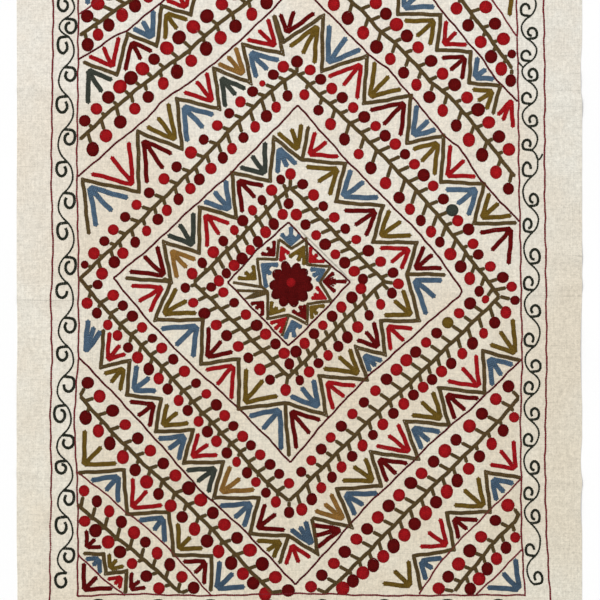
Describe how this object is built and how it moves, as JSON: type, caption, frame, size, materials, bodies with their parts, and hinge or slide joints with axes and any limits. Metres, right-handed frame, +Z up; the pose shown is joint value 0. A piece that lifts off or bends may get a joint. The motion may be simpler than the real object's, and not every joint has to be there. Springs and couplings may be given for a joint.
{
  "type": "suzani embroidered textile",
  "caption": "Rectangular cotton hanging or table cloth laid flat, chain-stitched with nested diamonds, berry vines, zigzags and a scroll border.",
  "frame": {"origin": "middle of the underside, on the surface that the cloth lies on", "axes": "+X from the left selvedge to the right one, +Y up the length of the pattern, +Z up out of the embroidered face"},
  "size_m": [1.13, 1.5, 0.0055],
  "materials": {
    "cotton_ground": "undyed plain-weave cotton with chain-stitch embroidery, matte"
  },
  "bodies": {
    "root": {"ground_cloth": "cotton_ground"}
  },
  "joints": []
}
